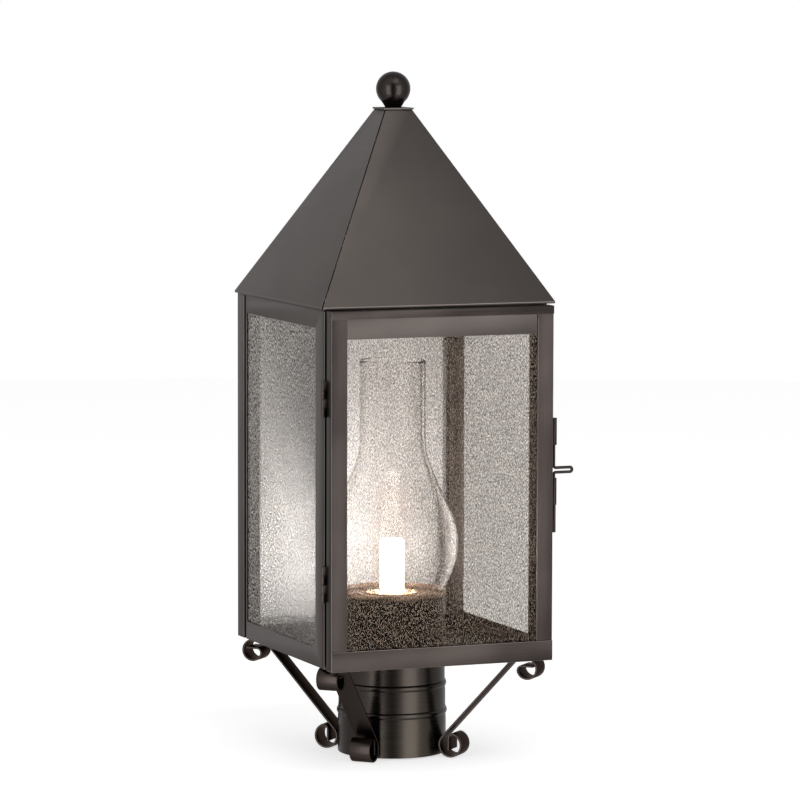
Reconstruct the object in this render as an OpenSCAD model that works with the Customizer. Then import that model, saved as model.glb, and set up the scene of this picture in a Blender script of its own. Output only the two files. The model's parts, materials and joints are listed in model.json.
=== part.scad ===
// Post lantern: a square glazed body on a post fitter, with a hinged door held by a wire
// slide bolt, a four-sided sheet roof with a ball finial, and a glass chimney round the bulb.
// Origin: the centre of the post fitter's mouth. +X right, -Y front with the door, +Z up.

/* [Body] */
// Width of the body across its side panels
body_w = 174.4; // [150:0.1:210]
// Set-back of the side panels' front edges from half the body's width
front_setback = 2.1; // [-6:0.1:8]
// Set-back of the side panels' rear edges from half the body's width
rear_setback = 8.4; // [0:0.1:14]
// Height of the side panels
body_h = 259.5; // [230:0.5:320]
// Thickness of the sheet metal
sheet = 1; // [0.8:0.1:1.4]
// Width of the front corner angles across the front
angle_front_w = 13.6; // [9:0.1:18]
// Width of the front corner angles along the sides
angle_side_w = 5.1; // [3.5:0.1:8]
// Step from a corner angle down to the side sheet
angle_step = 0.4; // [0.2:0.1:0.6]
// Width of a side panel's front stile beside the corner angle
side_stile_w = 13.4; // [10:0.1:20]
// Width of a side panel's rear lip
side_lip_w = 1.2; // [1:0.1:4]
// Height of the rails above and below the side and rear windows
window_rail_h = 13.3; // [10:0.1:20]
// Corner radius of the windows
window_corner_r = 2.5; // [1:0.5:5]
// Depth of the inward folds on the sheet panels
fold_d = 8; // [5:0.5:11]

/* [Rear panel] */
// Depth of the rear tray
rear_depth = 13.4; // [9:0.1:20]
// Open joint between the side panels and the rear tray
rear_joint = 3.6; // [2:0.1:6]
// Width of the rear panel's stiles
rear_stile_w = 7.2; // [6:0.1:20]
// Depth of the channel that holds a side pane's rear edge
channel_d = 18.8; // [4:0.1:24]
// Set-back of the inner corner posts behind the side faces
post_setback = 3; // [2:0.5:6]

/* [Roof] */
// Overhang of the eaves past the side panels
eave_overhang = 4.2; // [2:0.1:10]
// Height of the roof from the eaves to the cap plate
roof_h = 139.5; // [100:0.5:180]
// Half width of the roof's open top
roof_top_half = 10.9; // [9.5:0.1:16]
// Height of the upright hem at the eaves
hem_h = 1.5; // [1:0.1:4]
// Depth of the soffit fold under the eaves
soffit_d = 15; // [8:0.5:20]
// Open seam along each hip
hip_seam = 1; // [0.1:0.1:1.5]
// Thickness of the ring that carries the roof
ring_t = 1.4; // [1:0.1:3]
// Width of the ring's inner opening
ring_opening = 124; // [90:1:130]
// Half width of the cap plate
cap_half = 11.8; // [11:0.1:18]
// Thickness of the cap plate
cap_t = 1.3; // [0.8:0.1:3]
// Radius of the finial ball
ball_r = 12.7; // [8:0.1:18]
// Height of the ball's neck
neck_h = 1; // [0.3:0.1:4]
// Radius of the ball's neck
neck_r = 5.5; // [3:0.1:7]
// Radius of the finial's stud
stud_r = 2; // [1.5:0.1:2.4]
// Width of the stud's nut across its flats
stud_nut_af = 8; // [7:0.5:11]
// Thickness of the stud's nut
stud_nut_t = 4; // [3:0.5:6]

/* [Door] */
// Set-back of the door's edges from the body's sides
door_inset = 0.4; // [0:0.1:1]
// Depth of the door tray
door_depth = 9.9; // [8:0.1:14]
// Open joint between the door and the body
door_joint = 3.5; // [3.3:0.1:5]
// Gap under the eaves above the door
door_top_gap = 0.8; // [0.5:0.1:3]
// How far the door reaches below the body's floor
door_drop = 0.5; // [0:0.1:3]
// Width of the door's stiles
door_stile_w = 12.4; // [9:0.1:18]
// Depth of the fold behind a stile
door_fold_d = 9; // [6:0.5:12]
// Height of the door's top band
top_band_h = 6; // [4:0.1:10]
// Height of the door's top rail below the band
top_rail_h = 14.4; // [8:0.1:24]
// Height of the door's bottom band
bottom_band_h = 14.6; // [10:0.1:24]
// Thickness of the bands laid over the stiles
band_t = 0.8; // [0.6:0.1:1.2]
// Radius of the top band's rolled edge
band_roll_r = 0.7; // [0.3:0.1:0.7]
// Slit between the top rail and the right stile
rail_slit = 0.7; // [0.3:0.1:1.5]

/* [Glazing] */
// Thickness of the panes
glass_t = 2.5; // [2:0.1:3]
// Clearance round and behind a pane
glass_gap = 0.1; // [0.1:0.1:0.4]
// How far a pane laps behind its window's edges
glass_lap = 8; // [5:0.5:9]
// Width of a pane clip
clip_w = 10; // [6:0.5:16]
// Reach of a pane clip over the glass
clip_reach = 6; // [4:0.5:8]
// Thickness of a pane clip
clip_t = 0.8; // [0.5:0.1:1.2]

/* [Hinges] */
// Length of a hinge
hinge_len = 26.4; // [20:0.4:36]
// Height of the lower hinge's centre over the body's floor
hinge_low_z = 62; // [40:1:90]
// Height of the upper hinge's centre over the body's floor
hinge_high_z = 196.5; // [150:0.5:215]
// Radius of a hinge barrel
barrel_r = 1.5; // [1.3:0.05:1.6]
// Radius of a hinge pin
pin_r = 0.8; // [0.6:0.05:0.9]
// Running clearance of the pins and the slide bolt
run_gap = 0.05; // [0.03:0.01:0.08]
// End gap between two knuckles
knuckle_gap = 0.2; // [0.1:0.05:0.4]
// Thickness of a hinge leaf
leaf_t = 0.8; // [0.6:0.1:1]
// Width of a hinge leaf from the barrel's axis
leaf_w = 10; // [8:0.5:12]

/* [Slide bolt] */
// Radius of the bolt's wire
wire_r = 1.1; // [0.9:0.1:1.3]
// Radius of a guide tube on the door
guide_r = 2.1; // [1.9:0.1:2.4]
// Radius of the keeper tube on the body
keeper_r = 1.6; // [1.5:0.05:1.7]
// Length of a guide tube and of the keeper
guide_len = 19.9; // [14:0.1:26]
// Set-back of the bolt behind the door's front face
bolt_setback = 3.4; // [2.6:0.1:5]
// Height of the keeper's lower end over the body's floor
keeper_z = 93.3; // [70:0.1:110]
// Gap between the keeper and the lower guide
keeper_gap = 0.3; // [0.2:0.1:1]
// Bare wire between the lower guide and the upper guide
guide_spacing = 24.2; // [18:0.1:32]
// Lift of the loop's lower arm over the lower guide
arm_lift = 4; // [3.4:0.1:6]
// Distance between the loop's two arms, centre to centre
arm_spacing = 3.4; // [2.8:0.1:4.5]
// Reach of the finger loop from the bolt's axis
loop_reach = 15.6; // [10:0.1:22]
// Bend radius where the wire turns out into the loop
wire_bend_r = 1.6; // [1.4:0.1:2]
// Thickness of the keeper's plate
keeper_plate_t = 0.8; // [0.6:0.1:1]
// Height of the keeper's plate
keeper_plate_h = 13; // [8:0.5:14]

/* [Post fitter] */
// Radius of the post fitter's bore, for a 3 inch post
bore_r = 38.6; // [38.3:0.1:39]
// Outer radius of the fitter below the lower bead
fitter_r = 40.3; // [40:0.1:42]
// Step in radius at each bead
fitter_step = 0.45; // [0.1:0.05:0.5]
// Length of the fitter
fitter_h = 77.5; // [70:0.5:110]
// Length of the fitter above the shoulder that stops the post
post_stop_h = 10; // [9:0.5:14]
// Depth of the shoulder that stops the post
post_stop_d = 0.8; // [0.4:0.1:1.5]
// Height of the lower bead over the fitter's mouth
low_bead_z = 31; // [27:0.5:34]
// Height of the upper bead over the fitter's mouth
high_bead_z = 51.5; // [46:0.5:56]
// Height of a rolled bead
bead_h = 4.6; // [3:0.1:6]
// How far a bead stands proud
bead_proud = 1; // [0.5:0.1:1.4]
// Outer radius of the fitter's flange
flange_r = 50; // [46:0.5:54]
// Radius of the flange rivets' circle
rivet_circle_r = 45.2; // [44:0.1:46]
// Radius of a flange rivet's shank
rivet_r = 1.6; // [1.2:0.1:1.8]
// Height of the set screws over the fitter's mouth
set_screw_z = 41; // [38:0.5:43]
// Radius of a set screw
set_screw_r = 2.4; // [2:0.1:3]
// Width of a set screw's head across its flats
set_screw_af = 7; // [6:0.5:8]

/* [Scroll brackets] */
// Width of the bracket strap
strap_w = 16.5; // [9:0.1:20]
// Thickness of the bracket strap
strap_t = 1.5; // [1:0.1:2]
// How far the lower curls reach below the fitter's mouth
scroll_drop = 1.2; // [0:0.1:6]
// Middle radius of the lower curl
low_curl_r = 8.6; // [7:0.1:9.2]
// Middle radius of the upper curl
high_curl_r = 7.6; // [7:0.1:9]
// Distance of the upper curl's centre from the corner of the body
curl_inset = 12.8; // [10:0.1:22]
// Gap between the lower curl and the fitter
curl_gap = 0.1; // [0:0.1:1]
// Flat run of the strap under the floor
strap_flat = 10.3; // [6:0.1:16]
// Middle radius of the hooks inside the curls
hook_r = 3.5; // [2.5:0.1:4]
// Straight end of the hooks
hook_len = 8.5; // [4:0.5:9]
// Turn of a curl before its hook begins, lower end
low_curl_end = 425; // [415:1:435]
// Turn of a curl before its hook begins, upper end
high_curl_end = -155; // [-165:1:-145]

/* [Lamp] */
// Radius of the pedestal cup
pedestal_r = 38.6; // [36:0.1:39.5]
// Height of the pedestal cup
pedestal_h = 38.8; // [34:0.1:46]
// Radius of the chimney gallery
gallery_r = 40; // [39.8:0.1:44]
// Height of the gallery's rim
gallery_rim_h = 2.5; // [1.5:0.5:3]
// Radius of the chimney at its foot
chimney_foot_r = 37.5; // [36:0.1:37.8]
// Radius of the chimney at its belly
chimney_belly_r = 49.2; // [44:0.1:52]
// Height of the belly over the chimney's foot
belly_z = 37; // [30:0.5:45]
// Radius of the chimney's neck
chimney_neck_r = 24.6; // [22:0.1:32]
// Height over the foot at which the neck begins
neck_z = 116; // [100:1:130]
// Height of the chimney
chimney_h = 174; // [150:1:190]
// Thickness of the chimney's glass
chimney_t = 1.8; // [1.2:0.1:2.4]
// Radius of the lamp socket
socket_r = 18; // [17:0.1:18.4]
// Radius of the bulb's screw base
base_r = 13.2; // [12:0.1:13.4]
// Clearance between the bulb's base and the socket
base_gap = 0.3; // [0.1:0.1:0.5]
// Radius of the bulb's glass
bulb_r = 15.5; // [14:0.1:17]
// Height of the bulb's glass
bulb_h = 78; // [66:1:90]
// Length of a light filament
filament_len = 35; // [28:1:44]
// Radius of the circle that the filaments stand on
filament_circle_r = 8; // [5:0.1:9]
// Number of light filaments
filament_count = 4; // [3:1:6]
// Radius of the threaded nipple
nipple_r = 5; // [4:0.1:6]

/* [Hidden] */
$fn = 64;
BRONZE = "#4b4644";
CLEAR = [0.85, 0.86, 0.84, 0.4];
eps = 0.01;
lap = 0.05;

// Heights over the origin
floor_z = fitter_h;
top_z = floor_z + body_h;
eave_z = top_z + ring_t;
apex_z = eave_z + roof_h;
window_low = floor_z + window_rail_h;
window_high = top_z - window_rail_h;

// Half widths and distances from the post's axis
side_x = body_w / 2;
front_reach = side_x - front_setback;
rear_reach = side_x - rear_setback;
sheet_x = side_x - angle_step;
eave_half = side_x + eave_overhang;
rear_in = rear_reach + rear_joint;
rear_y = rear_in + rear_depth;
door_in = front_reach + door_joint;
door_y = door_in + door_depth;
door_x = side_x - door_inset;
side_window_front = front_reach - angle_side_w - side_stile_w;
side_window_rear = rear_reach - side_lip_w;
rear_window_x = side_x - rear_stile_w;
door_low = floor_z - door_drop;
door_high = eave_z - door_top_gap;
opening_x = door_x - door_stile_w;
opening_high = door_high - top_band_h - top_rail_h;

// Sheet panel helpers
module window(w, h) {
    r = window_corner_r;
    translate([r, 0]) square([w - 2 * r, h]);
    translate([0, r]) square([w, h - 2 * r]);
    for (x = [r, w - r], y = [r, h - r]) translate([x, y]) circle(r);
}

// Turns a flat outline drawn as (depth, height) into a sheet that stands in the YZ plane
module upright_sheet(x, t) {
    translate([x, 0, 0]) rotate([90, 0, 90]) linear_extrude(t) children();
}

// Turns a section drawn as (depth, height) into a bar along X, centred on the axis
module bar_along_x(length) {
    translate([-length / 2, 0, 0]) rotate([90, 0, 90]) linear_extrude(length) children();
}

module rivet_places() {
    for (a = [0 : 90 : 270]) rotate([0, 0, a]) translate([rivet_circle_r, 0, 0]) children();
}

// Post fitter: a spun sleeve with two rolled beads, soldered to a flange under the floor
function bead_arc(r, z) = [
    for (a = [-90 : 15 : 90]) [r + bead_proud * max(0, cos(a)), z + bead_h / 2 * sin(a)]
];
mid_r = fitter_r - fitter_step;
high_r = mid_r - fitter_step;
stop_r = bore_r - post_stop_d;

module set_screw_places() {
    for (a = [68, 112])
        rotate([0, 0, a]) translate([0, 0, set_screw_z]) rotate([0, 90, 0]) children();
}

module post_fitter() {
    outline = concat(
        [[bore_r, 0], [fitter_r, 0]],
        [[fitter_r, low_bead_z - bead_h / 2]], bead_arc(fitter_r - fitter_step / 2, low_bead_z),
        [[mid_r, low_bead_z + bead_h / 2]],
        [[mid_r, high_bead_z - bead_h / 2]], bead_arc(mid_r - fitter_step / 2, high_bead_z),
        [[high_r, high_bead_z + bead_h / 2]],
        [[high_r, floor_z - sheet], [stop_r, floor_z - sheet]],
        [[stop_r, floor_z - post_stop_h], [bore_r, floor_z - post_stop_h]]
    );
    color(BRONZE) difference() {
        rotate_extrude($fn = 128) polygon(outline);
        set_screw_places() cylinder(r = set_screw_r + run_gap, h = flange_r);
    }
}

module fitter_flange() {
    color(BRONZE) translate([0, 0, floor_z - sheet]) difference() {
        cylinder(r = flange_r, h = sheet, $fn = 128);
        translate([0, 0, -eps]) cylinder(r = stop_r, h = sheet + 2 * eps, $fn = 128);
        rivet_places() translate([0, 0, -eps]) cylinder(r = rivet_r + run_gap, h = sheet + 2 * eps);
    }
}

// Two set screws, backed off so that the bore is clear
module set_screws() {
    head_t = 3;
    shank = 6;
    color("silver") set_screw_places() {
        translate([0, 0, bore_r + sheet / 4]) cylinder(r = set_screw_r, h = shank);
        translate([0, 0, bore_r + sheet / 4 + shank])
            cylinder(d = set_screw_af / cos(30), h = head_t, $fn = 6);
    }
}

module flange_rivets() {
    head_r = 2 * rivet_r;
    head_t = rivet_r * 0.75;
    color(BRONZE) rivet_places() {
        translate([0, 0, floor_z - sheet]) cylinder(r = rivet_r, h = 2 * sheet);
        translate([0, 0, floor_z + sheet]) cylinder(r = head_r, h = head_t);
        translate([0, 0, floor_z - sheet - head_t]) cylinder(r = head_r, h = head_t);
    }
}

// Scroll bracket: one flat strap, curled and hooked at both ends, drawn in its own upright plane
high_curl_reach = side_x * sqrt(2) - curl_inset;
low_curl = [fitter_r + strap_t / 2 + low_curl_r + curl_gap, strap_t / 2 + low_curl_r - scroll_drop];
high_curl = [high_curl_reach, floor_z - strap_t / 2 - high_curl_r];
strap_knee = [high_curl_reach - strap_flat, floor_z - strap_t / 2];
knee_to_curl = low_curl - strap_knee;
slope_heading = atan2(knee_to_curl[1], knee_to_curl[0]) - asin(low_curl_r / norm(knee_to_curl));
slope_len = sqrt(norm(knee_to_curl) ^ 2 - low_curl_r ^ 2);
low_curl_start = slope_heading - 90 + 360;

module strap_arc(centre, r, from, to) {
    steps = 8;
    reach = 4 * r;
    first = from - lap / r * 180 / PI;
    last = to + lap / r * 180 / PI;
    translate(centre) intersection() {
        difference() {
            circle(r + strap_t / 2);
            circle(r - strap_t / 2);
        }
        polygon(concat([[0, 0]], [
            for (i = [0 : steps]) let (a = first + (last - first) * i / steps) reach * [cos(a), sin(a)]
        ]));
    }
}

module strap_run(start, heading, length) {
    translate(start) rotate(heading) translate([-lap, -strap_t / 2]) square([length + 2 * lap, strap_t]);
}

module strap_outline() {
    low_hook = low_curl + (low_curl_r - hook_r) * [cos(low_curl_end), sin(low_curl_end)];
    high_hook = high_curl + (high_curl_r - hook_r) * [cos(high_curl_end), sin(high_curl_end)];
    strap_run(low_hook - [hook_r, 0], -90, hook_len);
    strap_arc(low_hook, hook_r, low_curl_end - 360, 180);
    strap_arc(low_curl, low_curl_r, low_curl_start, low_curl_end);
    strap_run(strap_knee, slope_heading, slope_len);
    translate(strap_knee) circle(strap_t / 2);
    strap_run(strap_knee, 0, strap_flat);
    strap_arc(high_curl, high_curl_r, high_curl_end, 90);
    strap_arc(high_hook, hook_r, 90, high_curl_end + 360);
    strap_run(high_hook + [0, hook_r], 0, hook_len);
}

module scroll(turn) {
    color(BRONZE) rotate([0, 0, turn]) rotate([90, 0, 0])
        translate([0, 0, -strap_w / 2]) linear_extrude(strap_w) strap_outline();
}

// Floor: a shallow pan inside the side panels
pan_x = sheet_x - sheet;
pan_front = front_reach - sheet;
pan_rim_h = 10;
module floor_pan() {
    pan_d = pan_front + rear_reach - sheet;
    color(BRONZE) difference() {
        translate([-pan_x, -pan_front, floor_z]) cube([2 * pan_x, pan_d, pan_rim_h]);
        translate([-pan_x + sheet, -pan_front + sheet, floor_z + sheet])
            cube([2 * (pan_x - sheet), pan_d - 2 * sheet, pan_rim_h]);
        translate([0, 0, floor_z - sheet]) cylinder(r = nipple_r + run_gap, h = 3 * sheet);
        rivet_places() translate([0, 0, floor_z - sheet]) cylinder(r = rivet_r + run_gap, h = 3 * sheet);
    }
}

// Body frame, drawn for the right side and mirrored for the left
module corner_angle() {
    color(BRONZE) translate([0, 0, floor_z]) {
        translate([side_x - sheet, -front_reach, 0]) cube([sheet, angle_side_w, body_h]);
        translate([side_x - angle_front_w, -front_reach, 0]) cube([angle_front_w, sheet, body_h]);
    }
}

// The rear edge of a side frame is folded into a channel round its pane
channel_low = floor_z + pan_rim_h + glass_gap;
module side_frame() {
    front = front_reach - angle_side_w;
    color(BRONZE) {
        upright_sheet(sheet_x - sheet, sheet) difference() {
            translate([-front, floor_z]) square([front + rear_reach, body_h]);
            translate([-side_window_front, window_low])
                window(side_window_front + side_window_rear, window_high - window_low);
        }
        translate([sheet_x - fold_d, rear_reach - sheet, floor_z]) cube([fold_d, sheet, body_h]);
        translate([side_pane_x - glass_t - glass_gap - sheet, rear_reach - channel_d, channel_low])
            cube([sheet, channel_d, top_z - channel_low]);
    }
}

module rear_post() {
    color(BRONZE) translate([side_x - post_setback - fold_d + sheet, rear_reach, floor_z])
        cube([fold_d - sheet, rear_joint, body_h]);
}

module rear_frame() {
    color(BRONZE) {
        translate([0, rear_y, 0]) rotate([90, 0, 0]) linear_extrude(sheet) difference() {
            translate([-side_x, floor_z]) square([body_w, body_h]);
            translate([-rear_window_x, window_low])
                window(2 * rear_window_x, window_high - window_low);
        }
        for (side = [-1, 1]) {
            translate([side * (side_x - sheet / 2), rear_in + rear_depth / 2, floor_z + body_h / 2])
                cube([sheet, rear_depth, body_h], center = true);
            translate([side * (side_x - fold_d / 2), rear_in + sheet / 2, floor_z + body_h / 2])
                cube([fold_d, sheet, body_h], center = true);
        }
        translate([-side_x, rear_in, floor_z]) cube([body_w, rear_depth, sheet]);
    }
}

// Roof: four mitred sheets on a ring, a cap plate and a ball finial
module roof_ring() {
    hole = ring_opening;
    color(BRONZE) difference() {
        translate([-side_x, -front_reach, top_z]) cube([body_w, front_reach + rear_y, ring_t]);
        translate([-hole / 2, -hole / 2, top_z - eps]) cube([hole, hole, ring_t + 2 * eps]);
    }
}

module roof_panel(turn) {
    slope_run = (eave_half - roof_top_half) / (roof_h - hem_h);
    wall = sheet * sqrt(1 + slope_run ^ 2);
    lip_in = eave_half - wall + slope_run * (hem_h - sheet);
    section = [
        [eave_half, eave_z], [eave_half, eave_z + hem_h], [roof_top_half, apex_z],
        [roof_top_half - wall, apex_z], [min(lip_in, eave_half - sheet), eave_z + sheet],
        [eave_half - soffit_d, eave_z + sheet], [eave_half - soffit_d, eave_z]
    ];
    reach = eave_half + 1;
    color(BRONZE) rotate([0, 0, turn]) intersection() {
        translate([0, reach, 0]) rotate([90, 0, 0]) linear_extrude(2 * reach) polygon(section);
        translate([hip_seam / sqrt(2), 0, eave_z - 1]) linear_extrude(roof_h + 2)
            polygon([[0, 0], [reach, -reach], [reach, reach]]);
    }
}

module roof_cap() {
    color(BRONZE) difference() {
        translate([-cap_half, -cap_half, apex_z]) cube([2 * cap_half, 2 * cap_half, cap_t]);
        translate([0, 0, apex_z - eps]) cylinder(r = stud_r + run_gap, h = cap_t + 2 * eps);
    }
}

ball_seat = apex_z + cap_t;
ball_z = ball_seat + neck_h + ball_r;
stud_depth = 0.7 * ball_r;
module finial_ball() {
    color(BRONZE) difference() {
        union() {
            translate([0, 0, ball_z]) sphere(ball_r, $fn = 96);
            translate([0, 0, ball_seat]) cylinder(r = neck_r, h = neck_h + ball_r / 2);
        }
        translate([0, 0, ball_seat - eps])
            cylinder(r = stud_r + run_gap, h = neck_h + stud_depth + 2 * eps);
    }
}

module finial_stud() {
    low = apex_z - 1.5 * stud_nut_t;
    color("silver") translate([0, 0, low]) cylinder(r = stud_r, h = ball_seat + neck_h + stud_depth - low);
}

module finial_nut() {
    color("silver") translate([0, 0, apex_z - stud_nut_t]) difference() {
        cylinder(d = stud_nut_af / cos(30), h = stud_nut_t, $fn = 6);
        translate([0, 0, -eps]) cylinder(r = stud_r + run_gap, h = stud_nut_t + 2 * eps);
    }
}

// Panes lie behind their frames; clips fold over their edges
pane_low = window_low - glass_lap;
pane_high = window_high + glass_lap;
side_pane_x = sheet_x - sheet - glass_gap;
side_pane_front = side_window_front + glass_lap;
side_pane_rear = rear_reach - sheet - glass_gap;
pane_low_z = max(pane_low, channel_low);
module side_pane() {
    color(CLEAR) translate([side_pane_x - glass_t, -side_pane_front, pane_low_z])
        cube([glass_t, side_pane_front + side_pane_rear, pane_high - pane_low_z]);
}

rear_pane_y = rear_y - sheet - glass_gap;
rear_pane_x = side_x - sheet - glass_gap;
module pane_rear() {
    color(CLEAR) translate([-rear_pane_x, rear_pane_y - glass_t, pane_low])
        cube([2 * rear_pane_x, glass_t, pane_high - pane_low]);
}

clip_heights = [window_low + body_h / 12, window_high - body_h / 12];
clip_leg = 4;

// An angle clip: one leg lies on the sheet beside the pane, the other folds over the glass
module clip(x, y) {
    translate([x, y, -clip_w / 2]) cube([clip_reach, clip_t, clip_w]);
    translate([x + clip_reach - clip_t, y, -clip_w / 2]) cube([clip_t, clip_leg, clip_w]);
}

module pane_clips() {
    behind_side = side_pane_x - glass_t - clip_t;
    color(BRONZE) for (side = [0, 1]) mirror([side, 0, 0]) for (z = clip_heights) {
        translate([0, 0, z]) {
            translate([behind_side, -side_pane_front - clip_reach / 2, -clip_w / 2])
                cube([clip_t, clip_reach, clip_w]);
            translate([behind_side, -side_pane_front - clip_reach / 2, -clip_w / 2])
                cube([sheet_x - sheet - behind_side, clip_t, clip_w]);
            mirror([0, 1, 0]) clip(side_x - sheet - clip_reach, -rear_pane_y + glass_t);
        }
    }
}

// Door: folded stiles, a flush top rail, and bands laid over them at the top and bottom
module door_stile() {
    low = door_low + band_t;
    color(BRONZE) translate([0, 0, low]) linear_extrude(door_high - band_t - low) {
        translate([door_x - door_stile_w, -door_y]) square([door_stile_w, sheet]);
        translate([door_x - sheet, -door_y]) square([sheet, door_depth]);
        translate([door_x - door_fold_d, -door_in - sheet]) square([door_fold_d, sheet]);
    }
}

module door_top_rail() {
    high = door_high - band_t;
    color(BRONZE) translate([-opening_x, -door_y, opening_high])
        cube([2 * opening_x - rail_slit, sheet, high - opening_high]);
}

module door_top_band() {
    roll = band_roll_r;
    face = door_y + band_t;
    low = door_high - top_band_h;
    color(BRONZE) bar_along_x(2 * door_x) {
        translate([-face, low]) square([band_t, top_band_h - roll]);
        translate([-face + roll, door_high - band_t]) square([door_depth + band_t - roll, band_t]);
        intersection() {
            translate([-face + roll, door_high - roll]) circle(roll);
            translate([-face, door_high - roll]) square(roll);
        }
    }
}

module door_bottom_band() {
    face = door_y + band_t;
    color(BRONZE) bar_along_x(2 * door_x) {
        translate([-face, door_low]) square([band_t, bottom_band_h]);
        translate([-face, door_low]) square([door_depth + band_t, band_t]);
    }
}

door_pane_x = door_x - sheet - 3 * glass_gap;
door_pane_y = door_y - sheet - glass_gap;
module door_pane() {
    low = door_low + band_t + glass_gap;
    high = door_high - band_t - glass_gap;
    color(CLEAR) translate([-door_pane_x, -door_pane_y, low]) cube([2 * door_pane_x, glass_t, high - low]);
}

module door_clips() {
    color(BRONZE) for (side = [0, 1]) mirror([side, 0, 0]) for (z = clip_heights)
        translate([0, 0, z]) clip(door_x - sheet - clip_reach, -door_pane_y + glass_t);
}

// Hinges in the open joint at the door's left edge: four knuckles, two to a leaf
hinge_x = -(side_x + barrel_r);
hinge_y = -(front_reach + door_joint / 2);
knuckle = hinge_len / 4;

module hinge_leaf(z, first, back) {
    leaf_y = back ? -front_reach - leaf_t : -door_in;
    color(BRONZE) translate([0, 0, floor_z + z - hinge_len / 2]) difference() {
        for (i = [first, first + 2]) translate([0, 0, i * knuckle + knuckle_gap / 2]) {
            translate([hinge_x, hinge_y, 0]) cylinder(r = barrel_r, h = knuckle - knuckle_gap);
            translate([hinge_x, leaf_y, 0]) cube([leaf_w, leaf_t, knuckle - knuckle_gap]);
        }
        translate([hinge_x, hinge_y, -eps]) cylinder(r = pin_r + run_gap, h = hinge_len + 2 * eps);
    }
    color(BRONZE) translate([-side_x + leaf_t, leaf_y, floor_z + z - hinge_len / 2])
        cube([leaf_w - barrel_r - leaf_t, leaf_t, hinge_len]);
}

module hinge_pin(z) {
    color(BRONZE) translate([hinge_x, hinge_y, floor_z + z - hinge_len / 2])
        cylinder(r = pin_r, h = hinge_len);
}

// Slide bolt: a round wire in two guides on the door, with a finger loop, over a keeper on the body
bolt_x = door_x + guide_r;
bolt_y = -(door_y - bolt_setback);
keeper_low = floor_z + keeper_z;
keeper_high = keeper_low + guide_len;
low_guide_z = keeper_high + keeper_gap;
high_guide_z = low_guide_z + guide_len + guide_spacing;

module tube(r, low) {
    translate([bolt_x, bolt_y, low]) difference() {
        cylinder(r = r, h = guide_len);
        translate([0, 0, -eps]) cylinder(r = wire_r + run_gap, h = guide_len + 2 * eps);
    }
}

module bolt_guides() {
    color(BRONZE) {
        tube(guide_r, low_guide_z);
        tube(guide_r, high_guide_z);
    }
}

module bolt_keeper() {
    plate_rear = -front_reach + angle_side_w;
    wall_r = (keeper_r + wire_r + run_gap) / 2;
    plate_front = bolt_y + sqrt(max(0, wall_r ^ 2 - (bolt_x - side_x - keeper_plate_t) ^ 2));
    plate_low = keeper_low + (guide_len - keeper_plate_h) / 2;
    color(BRONZE) {
        tube(keeper_r, keeper_low);
        translate([side_x, plate_front, plate_low])
            cube([keeper_plate_t, plate_rear - plate_front, keeper_plate_h]);
    }
}

// A bend of the wire in the XZ plane, about a centre, from one angle by a turn
module wire_bend(x, z, r, from, turn) {
    translate([x, 0, z]) rotate([90, 0, 0]) rotate([0, 0, from])
        rotate_extrude(angle = turn) translate([r, 0]) circle(wire_r, $fn = 32);
}

module slide_bolt() {
    low_arm = low_guide_z + guide_len + arm_lift;
    high_arm = low_arm + arm_spacing;
    tip = low_guide_z + run_gap;
    bend = wire_bend_r;
    nose_r = arm_spacing / 2;
    nose_x = loop_reach - nose_r - wire_r;
    head = high_guide_z + guide_len - arm_lift / 4;
    color(BRONZE) translate([bolt_x, bolt_y, 0]) {
        translate([0, 0, tip]) cylinder(r = wire_r, h = low_arm - bend - tip, $fn = 32);
        wire_bend(bend, low_arm - bend, bend, 90, 90);
        translate([bend, 0, low_arm]) rotate([0, 90, 0]) cylinder(r = wire_r, h = nose_x - bend, $fn = 32);
        wire_bend(nose_x, low_arm + nose_r, nose_r, -90, 180);
        translate([bend, 0, high_arm]) rotate([0, 90, 0]) cylinder(r = wire_r, h = nose_x - bend, $fn = 32);
        wire_bend(bend, high_arm + bend, bend, 180, 90);
        translate([0, 0, high_arm + bend]) cylinder(r = wire_r, h = head - high_arm - bend, $fn = 32);
    }
}

// Lamp: nipple, pedestal cup, gallery, socket, bulb and chimney, all on the post's axis
pan_top = floor_z + sheet;
gallery_z = pan_top + pedestal_h;
foot_z = gallery_z + sheet;
collar_r = socket_r + 1.5;

module pedestal_cup() {
    wall = 0.8;
    color(BRONZE) translate([0, 0, pan_top]) difference() {
        cylinder(r = pedestal_r, h = pedestal_h);
        translate([0, 0, wall]) cylinder(r = pedestal_r - wall, h = pedestal_h);
        translate([0, 0, -eps]) cylinder(r = nipple_r + run_gap, h = 2 * wall);
    }
}

module gallery() {
    rim = 0.8;
    vents = 12;
    vent_r = 2.5;
    vent_circle_r = (socket_r + base_gap + chimney_foot_r - chimney_t) / 2;
    color(BRONZE) translate([0, 0, gallery_z]) difference() {
        cylinder(r = gallery_r, h = sheet + gallery_rim_h, $fn = 96);
        translate([0, 0, sheet]) cylinder(r = gallery_r - rim, h = gallery_rim_h + eps, $fn = 96);
        translate([0, 0, -eps]) cylinder(r = socket_r + base_gap, h = sheet + 2 * eps);
        for (i = [0 : vents - 1]) rotate([0, 0, i * 360 / vents]) translate([vent_circle_r, 0, -eps])
            cylinder(r = vent_r, h = sheet + 2 * eps, $fn = 24);
    }
}

// Height along the chimney to its outer radius: a swelling belly eased into a straight neck
function ease(t) = (1 - cos(180 * t)) / 2;
function chimney_r(z) =
    z < belly_z ? chimney_foot_r + (chimney_belly_r - chimney_foot_r) * sin(90 * z / belly_z)
    : z < neck_z ? chimney_belly_r + (chimney_neck_r - chimney_belly_r) * ease((z - belly_z) / (neck_z - belly_z))
    : chimney_neck_r;

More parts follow.
